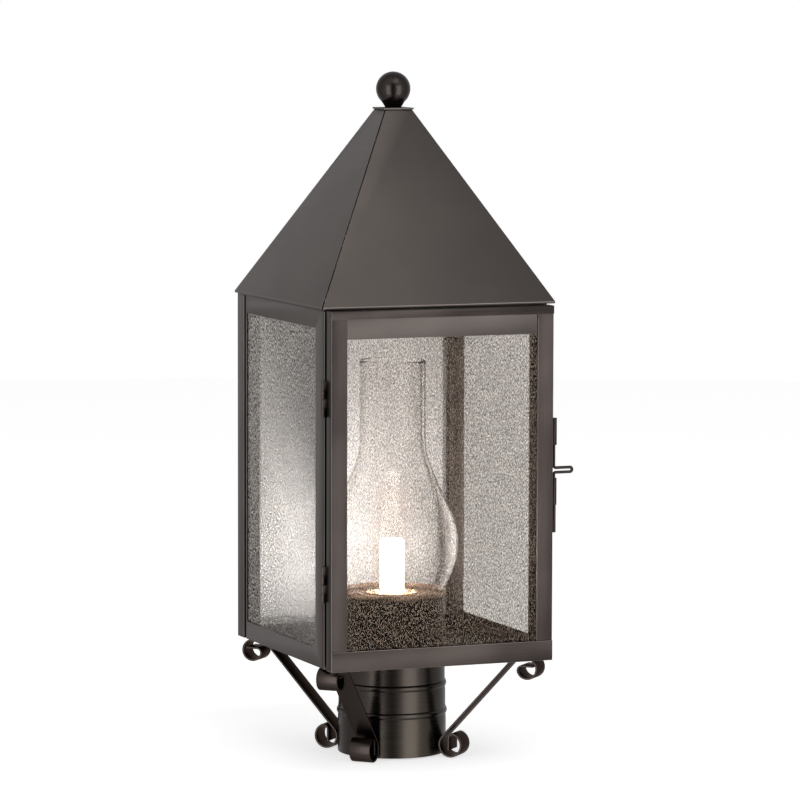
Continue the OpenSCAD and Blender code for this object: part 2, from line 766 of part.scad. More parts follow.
module chimney() {
    step = 6;
    heights = [
        for (z = [0 : step : belly_z]) z,
        for (z = [belly_z + step / 2 : step : neck_z]) z,
        neck_z, chimney_h
    ];
    outer = [for (z = heights) [chimney_r(z), z]];
    inner = [for (i = [len(heights) - 1 : -1 : 0]) [chimney_r(heights[i]) - chimney_t, heights[i]]];
    color(CLEAR) translate([0, 0, foot_z]) rotate_extrude($fn = 96) polygon(concat(outer, inner));
}

socket_low = pan_top + 5;
collar_h = 1.2;
module lamp_socket() {
    cap_h = 4;
    base_room = base_r + base_gap;
    color("ivory") difference() {
        union() {
            translate([0, 0, socket_low]) cylinder(r = socket_r, h = foot_z - socket_low);
            translate([0, 0, foot_z]) cylinder(r = collar_r, h = collar_h);
        }
        translate([0, 0, socket_low + cap_h]) cylinder(r = base_room, h = foot_z);
        translate([0, 0, socket_low - eps]) cylinder(r = nipple_r + run_gap, h = cap_h + 2 * eps);
    }
}

nut_t = 4;
module nipple() {
    low = floor_z - 2 * nut_t;
    color("silver") translate([0, 0, low]) difference() {
        cylinder(r = nipple_r, h = socket_low + nut_t - low);
        translate([0, 0, -eps]) cylinder(r = nipple_r - 1.4, h = socket_low + nut_t - low + 2 * eps);
    }
}

module locknut() {
    nut_af = nipple_r * 2 + 5;
    color("silver") translate([0, 0, floor_z - nut_t]) difference() {
        cylinder(d = nut_af / cos(30), h = nut_t, $fn = 6);
        translate([0, 0, -eps]) cylinder(r = nipple_r + run_gap, h = nut_t + 2 * eps);
    }
}

base_low = socket_low + 5;
bulb_low = foot_z + collar_h + base_gap;
module bulb_base() {
    tip_h = 2;
    color("silver") {
        translate([0, 0, base_low + tip_h]) cylinder(r = base_r, h = bulb_low - base_low - tip_h);
        translate([0, 0, base_low]) cylinder(r1 = base_r / 3, r2 = base_r / 2, h = tip_h);
    }
}

bulb_wall = 0.8;
module bulb_glass() {
    straight = bulb_h - bulb_r;
    color([1, 0.95, 0.8, 0.5]) translate([0, 0, bulb_low]) rotate_extrude() difference() {
        union() {
            square([bulb_r, straight]);
            translate([0, straight]) intersection() {
                circle(bulb_r);
                square(bulb_r);
            }
        }
        translate([0, bulb_wall]) square([bulb_r - bulb_wall, straight - bulb_wall]);
        translate([0, straight]) intersection() {
            circle(bulb_r - bulb_wall);
            square(bulb_r);
        }
    }
}

module bulb_filaments() {
    rod_r = 0.9;
    stem_r = 3;
    stem_h = 2;
    low = bulb_low + bulb_wall;
    post_r = 0.5;
    disc_t = 1;
    disc_r = filament_circle_r + 1.5 * rod_r;
    color("gold") {
        translate([0, 0, low]) cylinder(r = stem_r, h = stem_h);
        translate([0, 0, low + stem_h]) cylinder(r = post_r, h = filament_len);
        for (z = [low + stem_h - disc_t, low + stem_h + filament_len])
            translate([0, 0, z]) cylinder(r = disc_r, h = disc_t);
        for (i = [0 : filament_count - 1]) rotate([0, 0, (i + 0.5) * 360 / filament_count])
            translate([filament_circle_r, 0, low + stem_h]) cylinder(r = rod_r, h = filament_len);
    }
}

post_fitter();
fitter_flange();
set_screws();
flange_rivets();
scroll(225);  // scroll_front_left
scroll(315);  // scroll_front_right
scroll(135);  // scroll_rear_left
scroll(45);  // scroll_rear_right
floor_pan();
mirror([1, 0, 0]) corner_angle();  // corner_angle_left
corner_angle();  // corner_angle_right
mirror([1, 0, 0]) side_frame();  // side_frame_left
side_frame();  // side_frame_right
mirror([1, 0, 0]) rear_post();  // rear_post_left
rear_post();  // rear_post_right
rear_frame();
roof_ring();
roof_panel(270);  // roof_front
roof_panel(0);  // roof_right
roof_panel(90);  // roof_rear
roof_panel(180);  // roof_left
roof_cap();
finial_ball();
finial_stud();
finial_nut();
mirror([1, 0, 0]) side_pane();  // pane_left
side_pane();  // pane_right
pane_rear();
pane_clips();
mirror([1, 0, 0]) door_stile();  // door_stile_left
door_stile();  // door_stile_right
door_top_rail();
door_top_band();
door_bottom_band();
door_pane();
door_clips();
hinge_leaf(hinge_high_z, 0, true);  // hinge_fixed_upper
hinge_leaf(hinge_low_z, 0, true);  // hinge_fixed_lower
hinge_leaf(hinge_high_z, 1, false);  // hinge_door_upper
hinge_leaf(hinge_low_z, 1, false);  // hinge_door_lower
hinge_pin(hinge_high_z);  // hinge_pin_upper
hinge_pin(hinge_low_z);  // hinge_pin_lower
bolt_guides();
bolt_keeper();
slide_bolt();
pedestal_cup();
gallery();
chimney();
lamp_socket();
nipple();
locknut();
bulb_base();
bulb_glass();
bulb_filaments();
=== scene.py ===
import json
import math

import bmesh
import bpy
from mathutils import Matrix, Vector

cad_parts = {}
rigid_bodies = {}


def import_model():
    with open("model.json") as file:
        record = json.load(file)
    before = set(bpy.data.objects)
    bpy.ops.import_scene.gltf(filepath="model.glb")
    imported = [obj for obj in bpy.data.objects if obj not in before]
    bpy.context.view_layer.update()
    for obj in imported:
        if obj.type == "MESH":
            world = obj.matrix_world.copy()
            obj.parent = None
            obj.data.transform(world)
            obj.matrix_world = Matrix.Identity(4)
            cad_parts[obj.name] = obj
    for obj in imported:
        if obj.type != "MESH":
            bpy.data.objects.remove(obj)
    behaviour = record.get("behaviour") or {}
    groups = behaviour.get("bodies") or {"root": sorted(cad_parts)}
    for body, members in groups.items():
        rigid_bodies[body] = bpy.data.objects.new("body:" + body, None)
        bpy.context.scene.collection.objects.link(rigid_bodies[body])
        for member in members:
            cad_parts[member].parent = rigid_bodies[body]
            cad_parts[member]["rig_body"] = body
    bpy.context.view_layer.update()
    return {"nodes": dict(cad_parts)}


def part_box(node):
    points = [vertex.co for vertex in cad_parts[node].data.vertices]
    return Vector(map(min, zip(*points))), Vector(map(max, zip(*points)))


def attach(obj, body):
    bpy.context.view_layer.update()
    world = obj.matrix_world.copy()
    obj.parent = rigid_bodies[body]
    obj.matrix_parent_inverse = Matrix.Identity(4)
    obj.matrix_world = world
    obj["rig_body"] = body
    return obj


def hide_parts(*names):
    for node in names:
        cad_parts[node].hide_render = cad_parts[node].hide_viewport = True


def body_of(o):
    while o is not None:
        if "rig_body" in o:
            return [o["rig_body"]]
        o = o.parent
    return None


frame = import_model()
MM = 0.001


# Camera: where the photographer stood, 3.5 m off with a long lens, to the left of the door and
# just above the ball, looking slightly down. The frame is square.
CAMERA_PLACE = (-1.3088, -3.2461, 0.6068)
HEADING, DIP, ROLL = math.radians(22.05), math.radians(5.62), 0.0024
camera = bpy.data.objects.new("camera", bpy.data.cameras.new("camera"))
camera.data.lens = 213.4
camera.data.sensor_width = 36
camera.data.clip_end = 50
camera.matrix_world = (
    Matrix.Translation(CAMERA_PLACE)
    @ Matrix.Rotation(-HEADING, 4, "Z")
    @ Matrix.Rotation(math.pi / 2 - DIP, 4, "X")
    @ Matrix.Rotation(ROLL, 4, "Z")
)
scene = bpy.context.scene
scene.collection.objects.link(camera)
scene.camera = camera
scene.view_settings.view_transform = "Standard"


# Studio: a white sweep under the lantern, lit by two tall softboxes either side of the camera, a
# small one above and a low white room light. The gap between the tall boxes stays dark, and shows
# as the dark stripe down the middle of the ball and of the sleeve.
def linear(hex_colour):
    """An sRGB colour, such as "#4b4644", as the linear colour that a shader takes."""
    parts = [int(hex_colour[i : i + 2], 16) / 255 for i in (1, 3, 5)]
    return [c / 12.92 if c <= 0.04045 else ((c + 0.055) / 1.055) ** 2.4 for c in parts] + [1.0]


def add(tree, kind, inputs=None, **settings):
    """Add a node with its settings. An input is a value, or the output socket that feeds it."""
    made = tree.nodes.new(kind)
    for name, value in settings.items():
        setattr(made, name, value)
    for socket, value in (inputs or {}).items():
        if isinstance(value, bpy.types.NodeSocket):
            tree.links.new(value, made.inputs[socket])
        else:
            made.inputs[socket].default_value = value
    return made


def new_material(name):
    """An empty material with its node tree and output."""
    material = bpy.data.materials.new(name)
    material.use_nodes = True
    material.node_tree.nodes.clear()
    return material, material.node_tree, add(material.node_tree, "ShaderNodeOutputMaterial")


# The lamp's light crosses many faces of clear glass, and nearly all of it comes out after a bounce.
scene.cycles.transparent_max_bounces = 32
scene.cycles.sample_clamp_indirect = 0

# Eye and clear glass see a white room. Metal mirrors it a little darker, dimmer still behind the
# lantern, with the dark gap towards the camera. Spreads are cosines of the turn from the gap.
ROOM_LIGHT, SHEEN_OF_ROOM, SHEEN_OF_GAP, DIM_BEHIND = 0.34, 0.9, 0.08, 0.55
GAP_RIM, GAP_CORE, SIDES_START, SIDES_END = 0.95, 0.995, 0.6, -0.2
world = bpy.data.worlds.new("white_room")
scene.world = world
world.use_nodes = True
tree = world.node_tree
tree.nodes.clear()
path = add(tree, "ShaderNodeLightPath")
seen = add(
    tree, "ShaderNodeMath",
    {0: path.outputs["Is Camera Ray"], 1: path.outputs["Is Transmission Ray"]}, operation="MAXIMUM",
)
outward = add(tree, "ShaderNodeTexCoord").outputs["Generated"]
level_part = add(tree, "ShaderNodeVectorMath", {0: outward, 1: (1, 1, 0)}, operation="MULTIPLY")
heading = add(tree, "ShaderNodeVectorMath", {0: level_part.outputs[0]}, operation="NORMALIZE")
gap_heading = (-math.sin(HEADING), -math.cos(HEADING), 0)
towards = add(
    tree, "ShaderNodeVectorMath", {0: heading.outputs[0], 1: gap_heading}, operation="DOT_PRODUCT"
)
across = add(
    tree, "ShaderNodeMapRange",
    {"Value": towards.outputs["Value"], "From Min": GAP_RIM, "From Max": GAP_CORE,
     "To Min": SHEEN_OF_ROOM, "To Max": SHEEN_OF_GAP},
)
sides = add(
    tree, "ShaderNodeMapRange",
    {"Value": towards.outputs["Value"], "From Min": SIDES_END, "From Max": SIDES_START,
     "To Min": DIM_BEHIND, "To Max": 1.0},
)
sheen = add(
    tree, "ShaderNodeMath", {0: across.outputs["Result"], 1: sides.outputs["Result"]},
    operation="MULTIPLY",
)
mirrored = add(
    tree, "ShaderNodeMix",
    {"Factor": path.outputs["Is Glossy Ray"], "A": ROOM_LIGHT, "B": sheen.outputs[0]},
)
level = add(tree, "ShaderNodeMix", {"Factor": seen.outputs[0], "A": mirrored.outputs[0], "B": 1.0})
white = add(tree, "ShaderNodeBackground", {"Color": linear("#ffffff"), "Strength": level.outputs[0]})
add(tree, "ShaderNodeOutputWorld", {"Surface": white.outputs[0]})

SWEEP_R, SWEEP_TOP, SWEEP_SIDES, PAPER_LIFT = 3.0, -0.0013, 64, 0.66
sweep_mesh = bpy.data.meshes.new("sweep")
rim = [
    (SWEEP_R * math.cos(a), SWEEP_R * math.sin(a), SWEEP_TOP)
    for a in (2 * math.pi * i / SWEEP_SIDES for i in range(SWEEP_SIDES))
]
sweep_mesh.from_pydata(rim, [], [list(range(SWEEP_SIDES))])
sweep = bpy.data.objects.new("sweep", sweep_mesh)
scene.collection.objects.link(sweep)
# White photographer's paper, rolled out flat. The eye gets plain white with the lantern's soft
# shadow on it, and metal and lamp light pass it by, so that it adds no light from below.
material, tree, out = new_material("white_paper_sweep")
path = add(tree, "ShaderNodeLightPath")
seen = add(
    tree, "ShaderNodeMath",
    {0: path.outputs["Is Camera Ray"], 1: path.outputs["Is Transmission Ray"]}, operation="MAXIMUM",
)
lift = add(tree, "ShaderNodeMath", {0: seen.outputs[0], 1: PAPER_LIFT}, operation="MULTIPLY")
paper = add(tree, "ShaderNodeBsdfDiffuse", {"Color": linear("#f2f2f2")})
glow = add(tree, "ShaderNodeEmission", {"Color": linear("#ffffff"), "Strength": lift.outputs[0]})
both = add(tree, "ShaderNodeAddShader", {0: paper.outputs[0], 1: glow.outputs[0]})
open_to = add(
    tree, "ShaderNodeMath",
    {0: path.outputs["Is Glossy Ray"], 1: path.outputs["Is Shadow Ray"]}, operation="MAXIMUM",
)
clear = add(tree, "ShaderNodeBsdfTransparent")
sheet = add(
    tree, "ShaderNodeMixShader", {0: open_to.outputs[0], 1: both.outputs[0], 2: clear.outputs[0]}
)
tree.links.new(sheet.outputs[0], out.inputs["Surface"])
sweep_mesh.materials.append(material)

# Name, degrees round from the camera and up, metres away, width and height in metres, watts.
AIM = Vector((0, 0, 0.25))
CAMERA_SIDE = math.atan2(CAMERA_PLACE[1], CAMERA_PLACE[0])
BOXES = [
    ("softbox_left", -34, -4, 2.4, (1.1, 2.8), 20),
    ("softbox_right", 40, -4, 2.4, (1.3, 2.8), 24),
    ("softbox_top", 22, 58, 2.4, (1.5, 1.2), 7),
]
for name, turn, height, reach, size, power in BOXES:
    lamp = bpy.data.lights.new(name, "AREA")
    lamp.shape = "RECTANGLE"
    lamp.size, lamp.size_y = size
    lamp.energy = power
    box = bpy.data.objects.new(name, lamp)
    around, up = CAMERA_SIDE + math.radians(turn), math.radians(height)
    away = Vector((math.cos(around) * math.cos(up), math.sin(around) * math.cos(up), math.sin(up)))
    box.location = AIM + reach * away
    box.rotation_euler = away.to_track_quat("Z", "Y").to_euler()
    scene.collection.objects.link(box)


# Post fitter: a brass sleeve spun over a form, with two beads rolled into it for stiffness. It
# slips over the post and is soldered to a flange, which four rivets hold to the floor.
def from_points(name, points, faces):
    """A mesh object, with points that meet merged into one."""
    touching = 1e-6
    mesh = bpy.data.meshes.new(name)
    shape = bmesh.new()
    corners = [shape.verts.new(p) for p in points]
    for face in faces:
        shape.faces.new([corners[i] for i in face])
    bmesh.ops.remove_doubles(shape, verts=shape.verts, dist=touching)
    shape.to_mesh(mesh)
    shape.free()
    made = bpy.data.objects.new(name, mesh)
    scene.collection.objects.link(made)
    return made


def smooth(piece, angle):
    """Smooth shading that breaks at edges sharper than the angle in degrees."""
    shape = bmesh.new()
    shape.from_mesh(piece.data)
    for edge in shape.edges:
        edge.smooth = len(edge.link_faces) == 2 and edge.calc_face_angle(0) < math.radians(angle)
    for face in shape.faces:
        face.smooth = True
    shape.to_mesh(piece.data)
    shape.free()


def turned(name, outline, around):
    """
    A closed outline of (radius, height) points, upwards on the outside, spun round the post's
    axis in a number of steps.
    """
    crease = 35
    count = len(outline)
    points = [
        (r * math.cos(a), r * math.sin(a), z)
        for a in (2 * math.pi * i / around for i in range(around))
        for r, z in outline
    ]
    faces = [
        (
            i * count + j,
            (i + 1) % around * count + j,
            (i + 1) % around * count + (j + 1) % count,
            i * count + (j + 1) % count,
        )
        for i in range(around)
        for j in range(count)
    ]
    piece = from_points(name, points, faces)
    smooth(piece, crease)
    return piece


def fit(piece, body, slot, material, *nodes):
    """Give a finished piece its material, the body it rides on and the CAD nodes it stands for."""
    piece.data.materials.clear()
    piece.data.materials.append(material)
    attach(piece, body)
    if nodes:
        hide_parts(*nodes)
    return piece


def darkened_brass(name, colours, grain, roughness, rim="#ffffff"):
    """
    Sheet brass, brushed with a coarse wheel and darkened by a dip, under thin satin lacquer. The
    eye gets a warm grey-brown metal with fine lines along the grain and soft, cloudy shading.
    Real brush lines are 0.1 mm apart; they are drawn about 0.6 mm apart so that they show. The
    grain names the axes along which they run. A dark rim colour takes away the pale sheen of faces
    that are seen at a slant.
    """
    line_pitch, line_length, cloud, line_depth = 0.6 * MM, 40 * MM, 60 * MM, 0.05 * MM
    material, tree, out = new_material(name)
    place = add(tree, "ShaderNodeTexCoord").outputs["Object"]
    scale = [1 / (line_length if axis in grain else line_pitch) for axis in "XYZ"]
    along = add(tree, "ShaderNodeMapping", {"Vector": place, "Scale": scale})
    lines = add(tree, "ShaderNodeTexNoise", {"Vector": along.outputs[0], "Scale": 1.0, "Detail": 3.0})
    clouds = add(tree, "ShaderNodeTexNoise", {"Vector": place, "Scale": 1 / cloud, "Detail": 2.0})
    blend = add(
        tree, "ShaderNodeMix", {"Factor": 0.7, "A": lines.outputs["Fac"], "B": clouds.outputs["Fac"]}
    )
    tone = add(tree, "ShaderNodeValToRGB", {"Fac": blend.outputs[0]})
    tone.color_ramp.elements[0].position, tone.color_ramp.elements[1].position = 0.38, 0.62
    tone.color_ramp.elements[0].color, tone.color_ramp.elements[1].color = map(linear, colours)
    rough = add(
        tree, "ShaderNodeMapRange",
        {"Value": lines.outputs["Fac"], "From Min": 0.3, "From Max": 0.7,
         "To Min": roughness - 0.03, "To Max": roughness + 0.04},
    )
    bump = add(
        tree, "ShaderNodeBump",
        {"Height": lines.outputs["Fac"], "Strength": 0.12, "Distance": line_depth},
    )
    metal = add(
        tree, "ShaderNodeBsdfPrincipled",
        {"Base Color": tone.outputs["Color"], "Metallic": 1.0, "Roughness": rough.outputs[0],
         "Specular Tint": linear(rim), "Normal": bump.outputs[0]},
    )
    tree.links.new(metal.outputs[0], out.inputs["Surface"])
    return material


# Each run of sheets has its own pair of tones. The base pair is that of the front sheets. The
# side sheets take a copy painted lighter, as painted light for the light that falls on the sides.
BRASS_TONES = ("#352f2d", "#433d3a")
upright_brass = darkened_brass("darkened_brass_brushed_upright", BRASS_TONES, "Z", 0.36)
level_brass = darkened_brass("darkened_brass_brushed_level", BRASS_TONES, "X", 0.36)
side_sheet_painted_light_brass = darkened_brass("darkened_brass_side_sheets_painted_light", ("#625b58", "#69625f"), "Y", 0.36)
spun_brass = darkened_brass("darkened_brass_spun", ("#3c3634", "#454039"), "XY", 0.27)

BORE_R, MOUTH_R, BEAD_STEP, BEAD_R, BEAD_H = 38.6 * MM, 40.3 * MM, 0.45 * MM, 1.0 * MM, 4.6 * MM
LOW_BEAD, HIGH_BEAD, STOP_R, STOP_H = 31 * MM, 51.5 * MM, 37.8 * MM, 10 * MM
MOUTH_EDGE, BORE_EDGE = 0.3 * MM, 0.2 * MM
FLANGE_LOW, FLOOR = (corner.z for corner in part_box("fitter_flange"))


def bead(r, z):
    """The rounded profile of a rolled bead, proud of the wall at a radius and a height."""
    steps, sharpness = 12, 1.5
    return [
        (r + BEAD_R * max(0.0, math.cos(a)) ** sharpness, z + BEAD_H / 2 * math.sin(a))
        for a in (math.pi * (i / steps - 0.5) for i in range(steps + 1))
    ]


sleeve_outline = (
    [(BORE_R + BORE_EDGE, 0), (MOUTH_R - MOUTH_EDGE, 0), (MOUTH_R, MOUTH_EDGE)]
    + [(MOUTH_R, z * MM) for z in (8, 16, 24)]
    + bead(MOUTH_R - BEAD_STEP / 2, LOW_BEAD)
    + [(MOUTH_R - BEAD_STEP, z * MM) for z in (36, 41, 46)]
    + bead(MOUTH_R - 1.5 * BEAD_STEP, HIGH_BEAD)
    + [(MOUTH_R - 2 * BEAD_STEP, z * MM) for z in (57, 67)]
    + [(MOUTH_R - 2 * BEAD_STEP, FLANGE_LOW), (STOP_R, FLANGE_LOW), (STOP_R, FLOOR - STOP_H)]
    + [(BORE_R, FLOOR - STOP_H), (BORE_R, BORE_EDGE)]
)
sleeve = turned("sleeve", sleeve_outline, 128)
fit(sleeve, "lantern", "bronze", spun_brass, "post_fitter")


# Fitter flange: a spun brass ring under the floor, fixed to it by four round-headed rivets. Like
# every sheet part it keeps its CAD form, with a small round along each edge as a file leaves it.
# Along the outer edges of the body, door and roof, the rounds are painted paler, as a painted
# highlight where the edges catch the light.
# A CAD mesh is welded where its points touch, and flat faces are joined, before the rounding.
FLANGE_EDGE, RIVET_EDGE, WELD, FLAT = 0.2 * MM, 0.5 * MM, 2e-6, math.radians(0.5)
edge_highlight_brass = darkened_brass("darkened_brass_edge_painted_highlight", ("#6e6663", "#7a716d"), "", 0.34)


def eased(node, radius, material, sharp=30, rubbed=False):
    """
    The piece that stands for a CAD node: its mesh, closed up, with its edges rounded to a radius
    wherever they turn by more than the sharp angle in degrees.
    """
    source = frame["nodes"][node]
    mesh = bpy.data.meshes.new(node + "_eased")
    shape = bmesh.new()
    shape.from_mesh(source.data)
    bmesh.ops.remove_doubles(shape, verts=shape.verts, dist=WELD)
    bmesh.ops.dissolve_limit(
        shape, angle_limit=FLAT, verts=shape.verts, edges=shape.edges,
        use_dissolve_boundaries=False,
    )
    shape.to_mesh(mesh)
    shape.free()
    rough = bpy.data.objects.new(node + "_eased", mesh)
    scene.collection.objects.link(rough)
    round_off = rough.modifiers.new("file", "BEVEL")
    round_off.width = radius
    round_off.segments = 2
    round_off.limit_method = "ANGLE"
    round_off.angle_limit = math.radians(sharp)
    round_off.use_clamp_overlap = True
    round_off.harden_normals = True
    # The rounds take the paler brass, a painted highlight along the edges.
    if rubbed:
        mesh.materials.append(material)
        mesh.materials.append(edge_highlight_brass)
        round_off.material = 1
    for face in mesh.polygons:
        face.use_smooth = True
    graph = bpy.context.evaluated_depsgraph_get()
    finished = bpy.data.meshes.new_from_object(
        rough.evaluated_get(graph), preserve_all_data_layers=True, depsgraph=graph
    )
    piece = bpy.data.objects.new(node + "_piece", finished)
    scene.collection.objects.link(piece)
    bpy.data.objects.remove(rough)
    slot = source.data.materials[0].name.split(".")[0]
    edge_faces = [face.material_index for face in finished.polygons]
    fit(piece, body_of(source)[0], slot, material, node)
    if rubbed:
        finished.materials.append(edge_highlight_brass)
        finished.polygons.foreach_set("material_index", edge_faces)
    return piece


eased("fitter_flange", FLANGE_EDGE, spun_brass)
eased("flange_rivets", RIVET_EDGE, spun_brass)


# Set screws: two zinc-plated hexagon screws in the rear of the sleeve, which grip the post. The
# steel parts that hold the socket and the ball, further up, have the same plating.
def plated_steel(name):
    """
    Zinc-plated steel, barrel plated over turned rods and hexagon heads. The eye gets a pale grey
    metal with faint mottling from handling.
    """
    mottle_size = 2 * MM
    material, tree, out = new_material(name)
    place = add(tree, "ShaderNodeTexCoord").outputs["Object"]
    mottle = add(tree, "ShaderNodeTexNoise", {"Vector": place, "Scale": 1 / mottle_size, "Detail": 3.0})
    tone = add(tree, "ShaderNodeValToRGB", {"Fac": mottle.outputs["Fac"]})
    tone.color_ramp.elements[0].color = linear("#a5a49f")
    tone.color_ramp.elements[1].color = linear("#cfceca")
    metal = add(
        tree, "ShaderNodeBsdfPrincipled",
        {"Base Color": tone.outputs["Color"], "Metallic": 1.0, "Roughness": 0.32},
    )
    tree.links.new(metal.outputs[0], out.inputs["Surface"])
    return material


NUT_EDGE, ROD_EDGE = 0.25 * MM, 0.3 * MM
zinc = plated_steel("zinc_plated_steel")
eased("set_screws", NUT_EDGE, zinc)


# Scroll brackets: four flat brass straps, bent cold round a fork. Each runs from a curl beside the
# sleeve up to a knee under the floor and on to a curl at the corner, with both ends hooked inwards.
STRAP_W, STRAP_T, STRAP_EDGE = 16.5 * MM, 1.5 * MM, 0.35 * MM
LOW_CURL_R, HIGH_CURL_R, HOOK_R, HOOK_LEN = 8.6 * MM, 7.6 * MM, 3.5 * MM, 8.5 * MM
LOW_CURL_END, HIGH_CURL_END, STRAP_FLAT = math.radians(425), math.radians(-155), 10.3 * MM
SLEEVE_GAP, CORNER_INSET, BEND_STEP, STRAP_CREASE = 0.1 * MM, 12.8 * MM, math.radians(9), 40
STRAP_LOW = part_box("scroll_front_left")[0].z
BODY_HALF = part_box("corner_angle_right")[1].x
low_curl = Vector(
    (MOUTH_R + STRAP_T / 2 + LOW_CURL_R + SLEEVE_GAP, STRAP_LOW + STRAP_T / 2 + LOW_CURL_R)
)
high_curl = Vector((BODY_HALF * math.sqrt(2) - CORNER_INSET, FLOOR - STRAP_T / 2 - HIGH_CURL_R))
knee = Vector((high_curl.x - STRAP_FLAT, FLOOR - STRAP_T / 2))


def arc(centre, r, start, stop):
    """Points along a bend of the strap."""
    count = max(2, round(abs(stop - start) / BEND_STEP))
    turns = (start + (stop - start) * i / count for i in range(count + 1))
    return [centre + r * Vector((math.cos(a), math.sin(a))) for a in turns]


down = low_curl - knee
slope = math.atan2(down.y, down.x) - math.asin(LOW_CURL_R / down.length)
low_start = slope - math.pi / 2 + 2 * math.pi
low_end = Vector((math.cos(LOW_CURL_END), math.sin(LOW_CURL_END)))
high_end = Vector((math.cos(HIGH_CURL_END), math.sin(HIGH_CURL_END)))
low_hook = low_curl + (LOW_CURL_R - HOOK_R) * low_end
high_hook = high_curl + (HIGH_CURL_R - HOOK_R) * high_end
centre_line = (
    [low_hook + Vector((-HOOK_R, -HOOK_LEN))]
    + arc(low_hook, HOOK_R, math.pi, LOW_CURL_END - 2 * math.pi)
    + arc(low_curl, LOW_CURL_R, LOW_CURL_END, low_start)[1:]
    + [knee, knee + Vector((STRAP_FLAT / 2, 0))]
    + arc(high_curl, HIGH_CURL_R, math.pi / 2, HIGH_CURL_END)
    + arc(high_hook, HOOK_R, HIGH_CURL_END + 2 * math.pi, math.pi / 2)[1:]
    + [high_hook + Vector((HOOK_LEN, HOOK_R))]
)


def node_group(name, sizes):
    """A Geometry Nodes tree with named inputs, its input node and its output node."""
    group = bpy.data.node_groups.new(name, "GeometryNodeTree")
    group.interface.new_socket("Geometry", in_out="INPUT", socket_type="NodeSocketGeometry")
    group.interface.new_socket("Geometry", in_out="OUTPUT", socket_type="NodeSocketGeometry")
    for label, kind in sizes.items():
        group.interface.new_socket(label, in_out="INPUT", socket_type=kind)
    return group, add(group, "NodeGroupInput"), add(group, "NodeGroupOutput")


def grown(name, points, edges, group, values):
    """Run a Geometry Nodes tree on points and edges, and keep its result as a plain mesh."""
    mesh = bpy.data.meshes.new(name + "_seed")
    mesh.from_pydata(points, edges, [])
    seed = bpy.data.objects.new(name + "_seed", mesh)
    scene.collection.objects.link(seed)
    maker = seed.modifiers.new("grow", "NODES")
    maker.node_group = group
    sockets = {
        item.name: item.identifier for item in group.interface.items_tree if item.in_out == "INPUT"
    }
    for label, value in values.items():
        maker[sockets[label]] = value
    made = bpy.data.meshes.new_from_object(seed.evaluated_get(bpy.context.evaluated_depsgraph_get()))
    bpy.data.objects.remove(seed)
    piece = bpy.data.objects.new(name, made)
    scene.collection.objects.link(piece)
    return piece


group, given, result = node_group(
    "strap_scrolls",
    {"Width": "NodeSocketFloat", "Thickness": "NodeSocketFloat", "Edge": "NodeSocketFloat",
     "Brackets": "NodeSocketInt", "Finish": "NodeSocketMaterial"},
)
line = add(group, "GeometryNodeMeshToCurve", {"Mesh": given.outputs["Geometry"]})
section = add(
    group, "GeometryNodeCurvePrimitiveQuadrilateral",
    {"Width": given.outputs["Thickness"], "Height": given.outputs["Width"]},
)
softened = add(
    group, "GeometryNodeFilletCurve",
    {"Curve": section.outputs[0], "Radius": given.outputs["Edge"], "Count": 3}, mode="POLY",
)
strap = add(
    group, "GeometryNodeCurveToMesh",
    {"Curve": line.outputs[0], "Profile Curve": softened.outputs[0], "Fill Caps": True},
)
shaded = add(group, "GeometryNodeSetShadeSmooth", {"Geometry": strap.outputs[0], "Shade Smooth": True})
circle = add(group, "GeometryNodeMeshCircle", {"Vertices": given.outputs["Brackets"], "Radius": MM})
index = add(group, "GeometryNodeInputIndex")
share = add(
    group, "ShaderNodeMath", {0: 2 * math.pi, 1: given.outputs["Brackets"]}, operation="DIVIDE"
)
turn = add(
    group, "ShaderNodeMath", {0: index.outputs[0], 1: share.outputs[0], 2: math.pi / 4},
    operation="MULTIPLY_ADD",
)
spin = add(group, "ShaderNodeCombineXYZ", {"Z": turn.outputs[0]})
centred = add(group, "GeometryNodeSetPosition", {"Geometry": circle.outputs[0], "Position": (0, 0, 0)})
placed = add(
    group, "GeometryNodeInstanceOnPoints",
    {"Points": centred.outputs[0], "Instance": shaded.outputs[0], "Rotation": spin.outputs[0]},
)
real = add(group, "GeometryNodeRealizeInstances", {"Geometry": placed.outputs[0]})
painted = add(
    group, "GeometryNodeSetMaterial", {"Geometry": real.outputs[0], "Material": given.outputs["Finish"]}
)
group.links.new(painted.outputs[0], result.inputs[0])

strap_brass = darkened_brass("darkened_brass_strap", ("#3a3331", "#423b38"), "", 0.3, "#c2bab6")
scrolls = grown(
    "scrolls", [(p.x, 0, p.y) for p in centre_line],
    [(i, i + 1) for i in range(len(centre_line) - 1)], group,
    {"Width": STRAP_W, "Thickness": STRAP_T, "Edge": STRAP_EDGE, "Brackets": 4, "Finish": strap_brass},
)
smooth(scrolls, STRAP_CREASE)
fit(
    scrolls, "lantern", "bronze", strap_brass,
    "scroll_front_left", "scroll_front_right", "scroll_rear_left", "scroll_rear_right",
)


# Floor and body: a shallow pan carries two front corner angles, two side sheets with a window cut
# in each, two set-back rear posts and a rear tray. All are folded from 1 mm brass and soldered.
# The floor and the drum on it are painted near black, as painted shade for the shadowed inside
# of the lantern, matt and without brush lines.
FOLD = 0.35 * MM
painted_shade_brass = darkened_brass("darkened_brass_inside", ("#120e0b", "#1a1511"), "", 0.45)
eased("floor_pan", FOLD, painted_shade_brass)
# The side sheets take the copy painted lighter, as painted light on the sides.
for side in ("left", "right"):
    eased("corner_angle_" + side, FOLD, upright_brass, rubbed=True)
    eased("side_frame_" + side, FOLD, side_sheet_painted_light_brass, rubbed=True)
    eased("rear_post_" + side, FOLD, upright_brass)
# The rear tray takes a copy of the brass painted lighter, as painted light.
tray_painted_light_brass = darkened_brass("darkened_brass_rear_tray_painted_light", ("#5e5755", "#665f5c"), "Z", 0.36)
eased("rear_frame", FOLD, tray_painted_light_brass, rubbed=True)


